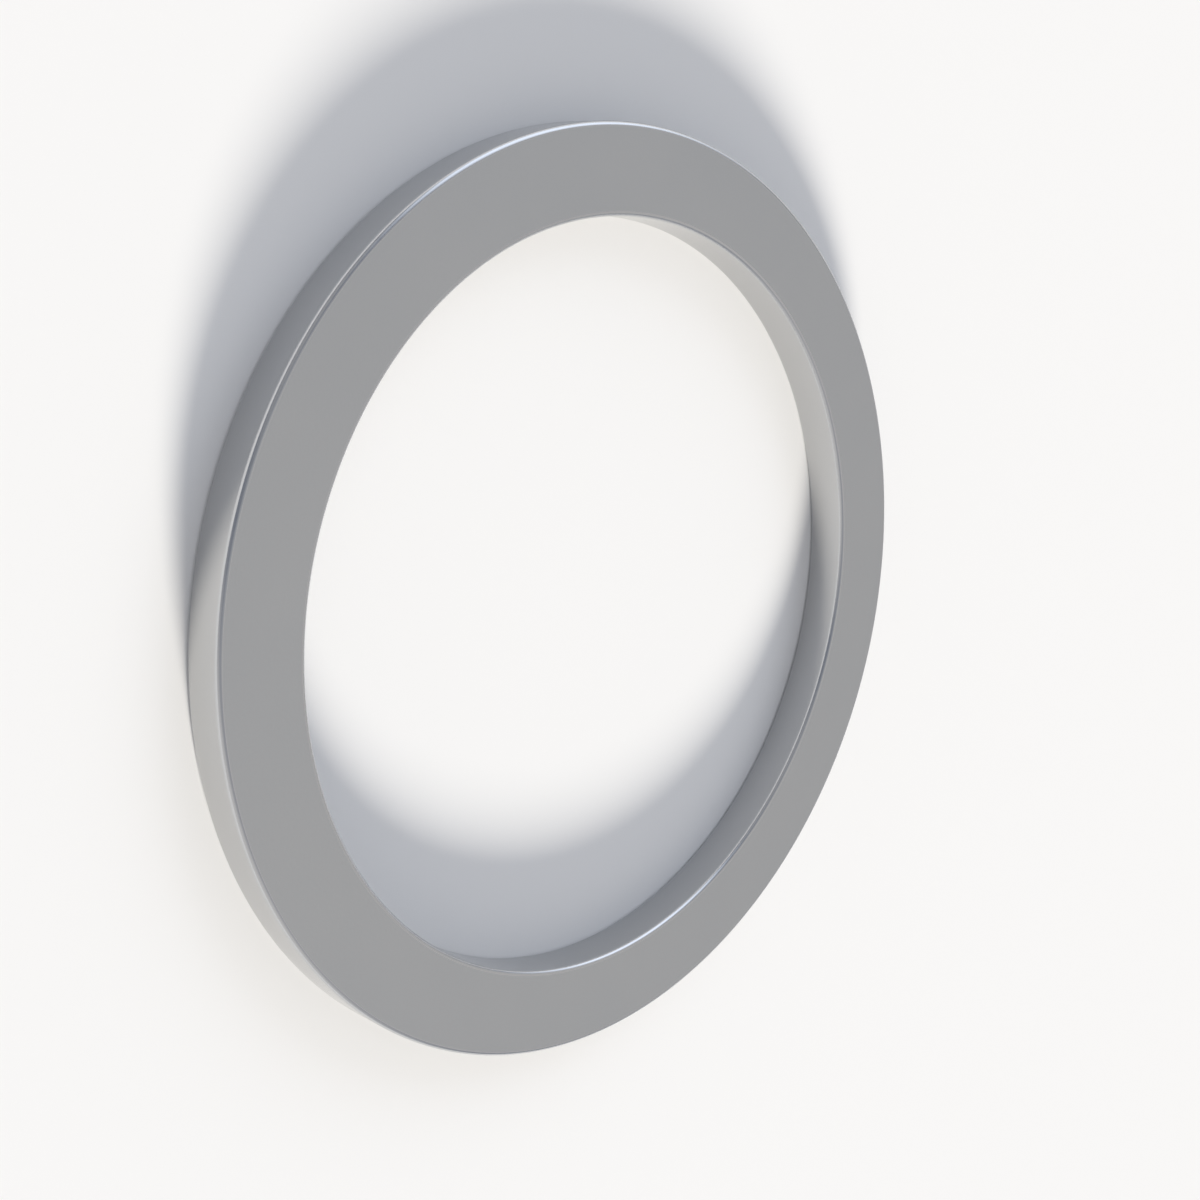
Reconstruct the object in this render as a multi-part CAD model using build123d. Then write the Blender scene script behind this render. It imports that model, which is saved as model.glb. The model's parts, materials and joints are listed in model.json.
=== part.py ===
from build123d import *
import os

# Driving dimensions, in millimetres.
bore_diameter = 65.0
ring_width = 7.5  # from the bore to the rim, along the radius
thickness = 4.0
edge_radius = 0.4  # rounds each of the four circular edges


def ring_section():
    """The ring's cut face in the XZ plane: a flat bar with rounded corners, standing on Z = 0."""
    bar_centre_x = (bore_diameter + ring_width) / 2
    bar_centre_z = thickness / 2
    with BuildSketch(Plane.XZ) as section:
        with Locations((bar_centre_x, bar_centre_z)):
            RectangleRounded(ring_width, thickness, edge_radius)
    return section.sketch


def thrust_washer():
    """The section turned once round Z. The bore stays open all the way through."""
    return revolve(ring_section(), axis=Axis.Z, revolution_arc=360)


os.makedirs("parts", exist_ok=True)
export_step(thrust_washer(), "parts/thrust_washer.step")
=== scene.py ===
# %% [markdown]
# A steel thrust washer
#
# A thrust washer is a flat, hard ring. It slips over a shaft and carries the end load between a shoulder
# and the part that turns against it. It is cut from bearing steel, turned on its rim and in its bore,
# hardened, tumbled to take off its sharp edges, then ground and lapped flat on both faces. This lesson
# models that ring, gives each surface the finish that its making left there, and lights it as a small
# studio would.
#
# The ring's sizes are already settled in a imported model, so the first step is to load it. What is built
# here takes its sizes from it and stays inside its box.

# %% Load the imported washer
import bpy
import json
import math
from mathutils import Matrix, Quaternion, Vector


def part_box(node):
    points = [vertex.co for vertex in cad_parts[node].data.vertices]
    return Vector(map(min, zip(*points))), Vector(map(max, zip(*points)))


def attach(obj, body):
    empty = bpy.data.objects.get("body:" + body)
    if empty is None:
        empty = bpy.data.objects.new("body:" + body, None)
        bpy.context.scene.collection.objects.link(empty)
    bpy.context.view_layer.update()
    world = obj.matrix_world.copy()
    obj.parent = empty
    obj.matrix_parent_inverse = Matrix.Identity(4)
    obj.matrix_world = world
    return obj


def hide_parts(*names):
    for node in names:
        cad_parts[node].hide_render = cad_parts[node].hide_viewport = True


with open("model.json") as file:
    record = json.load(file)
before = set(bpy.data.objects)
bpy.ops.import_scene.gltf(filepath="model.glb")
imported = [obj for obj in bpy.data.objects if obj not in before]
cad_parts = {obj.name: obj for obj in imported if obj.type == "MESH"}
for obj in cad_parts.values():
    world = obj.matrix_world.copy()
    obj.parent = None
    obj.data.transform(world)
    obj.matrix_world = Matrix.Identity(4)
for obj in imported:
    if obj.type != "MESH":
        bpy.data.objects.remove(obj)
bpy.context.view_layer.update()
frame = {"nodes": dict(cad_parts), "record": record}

print("nodes:", list(frame["nodes"]))

# %% [markdown]
# The ring's four sizes
#
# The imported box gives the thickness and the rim's radius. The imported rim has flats, so the box reaches a
# few thousandths of a millimetre less far on some sides than on others, and the new ring takes the least
# of them to stay inside. The box can't give the bore, because it only knows the outside, but the record
# states the bore as a mount, with its radius and the length of its straight wall in millimetres. The
# wall ends where the rounded edges begin, so what it leaves of the thickness is twice their radius.

# %% Read the ring's sizes
MM = 0.001

low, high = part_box("thrust_washer")
thickness = high.z - low.z
rim_radius = min(-low.x, high.x, -low.y, high.y)
bore_mount = next(mount for mount in frame["record"]["mounts"] if mount["name"] == "bore")
bore_radius = bore_mount["dims"]["r_mm"] * MM
edge_radius = (thickness - bore_mount["dims"]["length_mm"] * MM) / 2
print(f"rim {rim_radius / MM:.3f} mm, bore {bore_radius / MM:.3f} mm")
print(f"thickness {thickness / MM:.3f} mm, edges {edge_radius / MM:.3f} mm")

# %% [markdown]
# The camera
#
# The photograph looks down on the washer at a little under 45 degrees from close by, so the near side is
# plainly larger than the far side. It is also turned on its side, so that the ring seems to stand. The
# washer stays flat on the floor here, and the camera takes both the angle and the turn. A camera looks
# along its own -Z axis, so it is aimed with to_track_quat and then rolled about that axis. Its lens and
# sensor are in millimetres, as on a real one.
#
# From here on, left, right, front and back are those of a camera that isn't rolled: it stands in front,
# with +X on its right. In the rolled picture, right is at the bottom and the front is at the left.

# %% Place the camera
camera_elevation = math.radians(42.5)
camera_distance = 144.7 * MM
camera_roll = math.radians(103.4)
lens_length = 50
sensor_width = 36
near_clip = 5 * MM

ring_centre = Vector((0, 0, (low.z + high.z) / 2))
towards_camera = Vector((0, -math.cos(camera_elevation), math.sin(camera_elevation)))
camera_data = bpy.data.cameras.new("camera")
camera_data.lens = lens_length
camera_data.sensor_width = sensor_width
camera_data.clip_start = near_clip
camera = bpy.data.objects.new("camera", camera_data)
bpy.context.scene.collection.objects.link(camera)
camera.location = ring_centre + towards_camera * camera_distance
camera.rotation_mode = "QUATERNION"
aim = (-towards_camera).to_track_quat("-Z", "Y")
camera.rotation_quaternion = aim @ Quaternion((0, 0, 1), camera_roll)
bpy.context.scene.camera = camera
print("camera at", tuple(round(c / MM, 1) for c in camera.location), "mm")

# %% [markdown]
# The plain ring
#
# The real ring starts as a slice of thick tube with square corners. There are two easy ways to model one:
# spin its small section round the Z axis, or draw a circle, extrude that inwards to a flat ring and
# extrude the flat ring upwards. The second way is used here, because it leaves no seam to merge. With
# 384 steps round the circle each flat is 0.65 mm long, and its middle lies only 0.0013 mm inside the true
# circle, so the rim looks round at any distance.

# %% Model the plain ring
round_steps = 384

bpy.ops.object.select_all(action="DESELECT")
bpy.ops.mesh.primitive_circle_add(
    vertices=round_steps, radius=rim_radius, fill_type="NOTHING", location=(0, 0, low.z)
)
washer = bpy.context.object
washer.name = "steel_thrust_washer"
bpy.ops.object.mode_set(mode="EDIT")
bpy.ops.mesh.select_all(action="SELECT")
bpy.ops.mesh.extrude_edges_move()
inwards = bore_radius / rim_radius
bpy.ops.transform.resize(value=(inwards, inwards, 1))
bpy.ops.mesh.select_all(action="SELECT")
bpy.ops.mesh.extrude_region_move(TRANSFORM_OT_translate={"value": (0, 0, thickness)})
bpy.ops.mesh.select_all(action="SELECT")
bpy.ops.mesh.normals_make_consistent(inside=False)
bpy.ops.object.mode_set(mode="OBJECT")
print("plain ring:", len(washer.data.polygons), "faces")

# %% [markdown]
# The rounded edges
#
# Sharp corners would cut a shaft or a hand, so the hardened rings are tumbled in a drum of stones, which
# wears every corner to a small rounding. A Bevel modifier could cut it, but the bevel operator does it
# once and for all. On a square corner its offset is the radius, and a profile of 0.5 is a true quarter
# circle. The four edges are found by their angle, since nothing else on the ring turns by more than 60
# degrees.

# %% Round the four edges
quarter_circle = 0.5
edge_steps = 8
sharp_angle = math.radians(60)

bpy.ops.object.mode_set(mode="EDIT")
bpy.ops.mesh.select_all(action="DESELECT")
bpy.ops.mesh.select_mode(type="EDGE")
bpy.ops.mesh.edges_select_sharp(sharpness=sharp_angle)
bpy.ops.mesh.bevel(offset=edge_radius, segments=edge_steps, profile=quarter_circle, affect="EDGES")
bpy.ops.object.mode_set(mode="OBJECT")
print("rounded ring:", len(washer.data.polygons), "faces")

# %% [markdown]
# Smooth shading that keeps the flats flat
#
# Smooth shading blends the normals of neighbouring faces. On its own it would bend them on the wide flat
# faces too, and a lapped face would look dished. The Weighted Normal modifier lets the largest face at
# each corner decide, so the flats keep true normals and only the narrow roundings blend.

# %% Shade the ring
largest_face_decides = 100

bpy.ops.object.shade_smooth()
weights = washer.modifiers.new("weights", "WEIGHTED_NORMAL")
weights.mode = "FACE_AREA"
weights.weight = largest_face_decides
bpy.ops.object.modifier_apply(modifier=weights.name)
bpy.ops.object.transform_apply(location=True, rotation=True, scale=True)
print("washer spans", tuple(round(c / MM, 3) for c in washer.dimensions), "mm")

# %% [markdown]
# The steel under all three finishes
#
# The whole ring is one bar of through-hardened bearing steel, bare and lightly oiled. What differs from
# place to place is only how the surface was last worked, so each finish is a material of its own that
# starts from the same metal. The Principled shader takes a metal's colour as its reflectance: steel sends
# back a little over half of the light, very slightly more of the blue than of the red. Metallic is 1 and
# the IOR keeps its default, which is how this shader expects a metal.
#
# A surface like this is never one exact tone: the film of oil and the finishing leave faint clouds about
# 9 mm across. Two close greys, mixed by a slow noise, draw them, and each finish brings its own pair. All
# patterns read Object coordinates, which are metres on the ring itself, so a scale is simply one over a
# real length.

# %% Add the shared steel
cloud_size = 9 * MM
COLOUR_A, COLOUR_B, COLOUR_OUT = 6, 7, 2  # a Mix node's colour sockets, which share their names with others


def linear(code):
    """The linear colour that a shader needs, from an sRGB hex code."""
    channels = [int(code[i : i + 2], 16) / 255 for i in (1, 3, 5)]
    return [c / 12.92 if c <= 0.04045 else ((c + 0.055) / 1.055) ** 2.4 for c in channels] + [1]


def add(tree, kind, inputs=None, **settings):
    """Adds a node with its settings. Each input is a value, or the socket that feeds it."""
    node = tree.nodes.new(kind)
    for name, value in settings.items():
        setattr(node, name, value)
    for name, value in (inputs or {}).items():
        if isinstance(value, bpy.types.NodeSocket):
            tree.links.new(value, node.inputs[name])
        else:
            node.inputs[name].default_value = value
    return node


def bare_steel(name, deep, light):
    """A new bearing steel with clouds of two greys. Returns the material, its shader and its coordinates."""
    material = bpy.data.materials.new(name)
    material.use_nodes = True
    tree = material.node_tree
    shader = tree.nodes["Principled BSDF"]
    shader.inputs["Metallic"].default_value = 1
    place = add(tree, "ShaderNodeTexCoord").outputs["Object"]
    clouds = add(tree, "ShaderNodeTexNoise", {"Vector": place, "Scale": 1 / cloud_size, "Detail": 2})
    shades = {"Factor": clouds.outputs["Fac"], COLOUR_A: linear(deep), COLOUR_B: linear(light)}
    tone = add(tree, "ShaderNodeMix", shades, data_type="RGBA")
    tree.links.new(tone.outputs[COLOUR_OUT], shader.inputs["Base Color"])
    return material, shader, place


print("steel with clouds", cloud_size / MM, "mm across")

# %% [markdown]
# How a mark changes the steel
#
# Whatever made a surface, its marks do the same two things: they change its height a little, and its
# roughness. So one function takes a pattern of marks and lets it set both. A noise rarely leaves the
# range from 0.3 to 0.7, which is stretched over the roughness from the smoothest spot to the roughest.
# The bump's distance is the depth of the marks.

# %% Add the function for marks
MICRON = 0.001 * MM
NOISE_LOW = 0.3
NOISE_HIGH = 0.7


def mark(shader, pattern, smoothest, roughest, depth):
    """Lets a pattern of marks set the steel's roughness and its fine relief."""
    tree = shader.id_data
    spread = {"Value": pattern, "From Min": NOISE_LOW, "From Max": NOISE_HIGH}
    spread.update({"To Min": smoothest, "To Max": roughest})
    roughness = add(tree, "ShaderNodeMapRange", spread)
    relief = add(tree, "ShaderNodeBump", {"Height": pattern, "Distance": depth})
    tree.links.new(roughness.outputs["Result"], shader.inputs["Roughness"])
    tree.links.new(relief.outputs["Normal"], shader.inputs["Normal"])


print("marks: noise from", NOISE_LOW, "to", NOISE_HIGH, "sets the roughness")

# %% [markdown]
# The lapped faces
#
# A thrust washer works on its two flat faces, so they are lapped: loose abrasive grains roll between the
# ring and a flat plate and leave tiny pits with no direction. To the eye that is an even, soft satin grey
# that mirrors nothing sharply and has no lines. The pits are about 0.02 mm wide and a micrometre deep,
# too fine for any picture of the whole ring, so they are drawn 0.25 mm wide. What the eye sees is their
# slope, so they are drawn deeper by as much, and their slope is the real one.

# %% Make the lapped steel
real_pit_width = 0.02 * MM
real_pit_depth = 1 * MICRON
pit_width = 0.25 * MM
coarser_pits = pit_width / real_pit_width

lapped_steel, shader, place = bare_steel("lapped_steel", deep="#C3C5C7", light="#C8C9CA")
pits = add(shader.id_data, "ShaderNodeTexNoise", {"Vector": place, "Scale": 1 / pit_width, "Detail": 3})
mark(shader, pits.outputs["Fac"], smoothest=0.33, roughest=0.38, depth=real_pit_depth * coarser_pits)
print(lapped_steel.name, "pits", pit_width / MM, "mm")

# %% [markdown]
# The turned rim and bore
#
# The upright walls guide the ring and carry no load, so they are only turned on a lathe, with a fine last
# cut. The tool leaves hair-thin lines that run round the ring, and between them the metal is smoother than
# the lapped faces, so the walls give a clearer, glossier reflection. A real feed of 0.1 mm a turn is too
# fine for the picture, so the lines are drawn 0.3 mm apart, and deeper by as much. The noise that draws
# them is squeezed along the ring's axis and stretched across it, which makes long streaks that follow the
# wall without a seam.

# %% Make the turned steel
real_line_gap = 0.1 * MM
real_line_depth = 1 * MICRON
line_gap = 0.3 * MM
line_length = 25 * MM
coarser_lines = line_gap / real_line_gap

turned_steel, shader, place = bare_steel("turned_steel", deep="#C5C6C7", light="#CACACA")
squeeze = {"Vector": place, "Scale": (1 / line_length, 1 / line_length, 1 / line_gap)}
streaks = add(shader.id_data, "ShaderNodeMapping", squeeze).outputs["Vector"]
lines = add(shader.id_data, "ShaderNodeTexNoise", {"Vector": streaks, "Scale": 1, "Detail": 2})
mark(shader, lines.outputs["Fac"], smoothest=0.13, roughest=0.18, depth=real_line_depth * coarser_lines)
print(turned_steel.name, "lines", line_gap / MM, "mm apart")

# %% [markdown]
# The tumbled edges
#
# The stones in the drum rub the corners from every side and burnish them, so they are the brightest steel
# on the ring, and they catch the light as a thin line. Here and there a stone leaves a shallow dent.
# Those are drawn 0.8 mm wide and under a micrometre deep, which only makes the line waver a little.

# %% Make the tumbled steel
dent_width = 0.8 * MM
dent_depth = 0.8 * MICRON

tumbled_steel, shader, place = bare_steel("tumbled_steel", deep="#C9CACC", light="#CECFD0")
dents = add(shader.id_data, "ShaderNodeTexNoise", {"Vector": place, "Scale": 1 / dent_width, "Detail": 1})
mark(shader, dents.outputs["Fac"], smoothest=0.2, roughest=0.24, depth=dent_depth)
print(tumbled_steel.name, "dents", dent_width / MM, "mm")

# %% [markdown]
# Which finish goes where
#
# The making decides it, and so does the shape: what lies flat was lapped, what stands upright was turned,
# and everything between was tumbled. The faces could be picked by hand in edit mode and assigned, but a
# loop over them misses none. A face's normal says which it is: its z part is 1 on a flat, 0 on a wall, and
# between the two on a rounding.

# %% Give each surface its finish
almost_flat = 0.9999
almost_upright = 0.0001
finishes = [lapped_steel, turned_steel, tumbled_steel]

for finish in finishes:
    washer.data.materials.append(finish)
for face in washer.data.polygons:
    tilt = abs(face.normal.z)
    finish = lapped_steel if tilt > almost_flat else turned_steel if tilt < almost_upright else tumbled_steel
    face.material_index = finishes.index(finish)
for index, finish in enumerate(finishes):
    print(finish.name, "on", sum(face.material_index == index for face in washer.data.polygons), "faces")

# %% [markdown]
# The floor
#
# The washer lies on a plain pale table. Only its colour makes it pale: it sends back nine tenths of the
# light, as good white card does, and it has no gloss, so it shows nothing but the washer's soft shadow.
# The upright walls mirror the few millimetres of table beside them, so this floor also lights them. It
# is large enough for its end to meet the horizon.

# %% Lay the floor
floor_size = 30.0
card_white = "#F4F4F4"
card_roughness = 0.9

bpy.ops.object.select_all(action="DESELECT")
bpy.ops.mesh.primitive_plane_add(size=floor_size, location=(0, 0, low.z))
floor = bpy.context.object
floor.name = "floor"
white_card = bpy.data.materials.new("white_card")
white_card.use_nodes = True
card_shader = white_card.node_tree.nodes["Principled BSDF"]
card_shader.inputs["Base Color"].default_value = linear(card_white)
card_shader.inputs["Roughness"].default_value = card_roughness
card_shader.inputs["Specular IOR Level"].default_value = 0
floor.data.materials.append(white_card)
print("floor of", white_card.name, round(linear(card_white)[0], 2), "reflectance")

# %% [markdown]
# The soft lights
#
# Steel has hardly a look of its own: it shows the room. The flat face mirrors what is behind the washer,
# half way up, so a broad soft light hangs there, even enough to leave the face one plain grey. A wide
# light at the right lights the table and the edges that turn to it. A strong, slightly cool one at the
# left leaves its image as the thin white line along the rounded edges. Two weak ones, between the right
# and the back and in front at the left, fill what the edges would show as dark lines, and a weak one
# straight above keeps the face from going dark when it is seen from there. The rest of the room is a
# dim, cool grey.
#
# Lamps with a size would do, but soft patches painted into the World are simpler to place, because each
# is just a direction. How nearly the view points along it is the cosine of the angle between them: 1
# straight at the light, 0 at a right angle to it. A light starts at one such value and is full at another.

# %% Place the soft lights
def direction(azimuth, elevation):
    """The unit vector at an azimuth, from +X towards +Y, and an elevation, both in degrees."""
    turn, rise = math.radians(azimuth), math.radians(elevation)
    return Vector((math.cos(turn) * math.cos(rise), math.sin(turn) * math.cos(rise), math.sin(rise)))


dim_room = (0.205, 0.225, 0.275)
soft_lights = {
    "behind": {"from": direction(93, 45), "starts": 0.74, "full": 1.0, "adds": (0.412, 0.38, 0.321)},
    "right": {"from": direction(338, 12), "starts": 0.35, "full": 1.0, "adds": (0.52, 0.485, 0.428)},
    "left": {"from": direction(162, 22), "starts": 0.79, "full": 0.97, "adds": (1.2, 1.3, 1.46)},
    "between": {"from": direction(38, 42), "starts": 0.78, "full": 1.0, "adds": (0.15, 0.143, 0.13)},
    "front": {"from": direction(225, 42), "starts": 0.84, "full": 1.0, "adds": (0.22, 0.2, 0.165)},
    "above": {"from": direction(0, 90), "starts": 0.88, "full": 1.0, "adds": (0.22, 0.215, 0.193)},
}
for name, light in soft_lights.items():
    print(name, "adds", light["adds"])

# %% [markdown]
# The room as a World
#
# A World's shader runs once for each direction that is looked in, and Generated coordinates are that
# direction. The colour starts as the dim room, and each light in turn lays its own glow over it: a dot
# product gives the cosine, a smooth step on it gives the light its round, soft shape, and a multiply-add
# does the rest. A vector node's inputs share one name, so they go by number: for the multiply-add first
# the light's glow, then how much of it, then what it is added to.

# %% Paint the room
room = bpy.data.worlds.new("room")
bpy.context.scene.world = room
room.use_nodes = True
sky = room.node_tree
view = add(sky, "ShaderNodeTexCoord").outputs["Generated"]
base = {"X": dim_room[0], "Y": dim_room[1], "Z": dim_room[2]}
glow = add(sky, "ShaderNodeCombineXYZ", base).outputs["Vector"]
for light in soft_lights.values():
    nearness = add(sky, "ShaderNodeVectorMath", {0: view, 1: light["from"]}, operation="DOT_PRODUCT")
    step = {"Value": nearness.outputs["Value"], "From Min": light["starts"], "From Max": light["full"]}
    shape = add(sky, "ShaderNodeMapRange", step, interpolation_type="SMOOTHSTEP")
    patch = {0: light["adds"], 1: shape.outputs["Result"], 2: glow}
    glow = add(sky, "ShaderNodeVectorMath", patch, operation="MULTIPLY_ADD").outputs["Vector"]
print(room.name, "holds", len(soft_lights), "soft lights")

# %% [markdown]
# The backdrop
#
# Where the table ends, a dim room would draw a hard edge across every view from low down. A studio hangs
# a pale sheet there. This one is as pale as the table and fades upwards into the room, so that only a
# faint horizon is left. How far a view points above the horizon is the z part of its direction.

# %% Fade in the backdrop
backdrop_white = (0.93, 0.93, 0.93, 1)
fade_starts = direction(0, 8).z
fade_ends = direction(0, 14).z

rise = add(sky, "ShaderNodeSeparateXYZ", {"Vector": view}).outputs["Z"]
fade = {"Value": rise, "From Min": fade_starts, "From Max": fade_ends, "To Min": 1, "To Max": 0}
share = add(sky, "ShaderNodeMapRange", fade, interpolation_type="SMOOTHSTEP").outputs["Result"]
shades = {"Factor": share, COLOUR_A: glow, COLOUR_B: backdrop_white}
backed = add(sky, "ShaderNodeMix", shades, data_type="RGBA").outputs[COLOUR_OUT]
background = sky.nodes["Background"]
background.inputs["Strength"].default_value = 1
sky.links.new(backed, background.inputs["Color"])
print("backdrop full up to z", round(fade_starts, 3), "and gone at", round(fade_ends, 3))

# %% [markdown]
# The lamp
#
# One low lamp at the right throws the washer's shadow on the table. The walls mirror that table, so the
# lamp also gives them their bright and their dark side. It is switched off for mirror images, as a
# photographer does with crossed filters, because its own image in burnished steel would be a harsh spark.
#
# A Sun's strength says what it gives a surface that faces it. The cell starts instead from the brightness
# that it should give the floor, which is easier to judge.

# %% Set the lamp
lamp_azimuth = 21
lamp_elevation = 18
lamp_width = 12
level_on_floor = 0.495
warm_white = (1, 0.952, 0.864)

lamp_data = bpy.data.lights.new("key_lamp", "SUN")
lamp_data.energy = level_on_floor * math.pi / math.sin(math.radians(lamp_elevation))
lamp_data.angle = math.radians(lamp_width)
lamp_data.color = warm_white
key_lamp = bpy.data.objects.new("key_lamp", lamp_data)
bpy.context.scene.collection.objects.link(key_lamp)
key_lamp.rotation_mode = "QUATERNION"
key_lamp.rotation_quaternion = direction(lamp_azimuth, lamp_elevation).to_track_quat("Z", "Y")
key_lamp.visible_glossy = False
print("key_lamp energy", round(lamp_data.energy, 2))

# %% [markdown]
# Hand the washer over
#
# The new ring stands for the imported one and rides on its body. The floor is only stage.

# %% Hand over and finish
bpy.context.scene.view_settings.view_transform = "Standard"
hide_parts("thrust_washer")
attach(washer, "root")
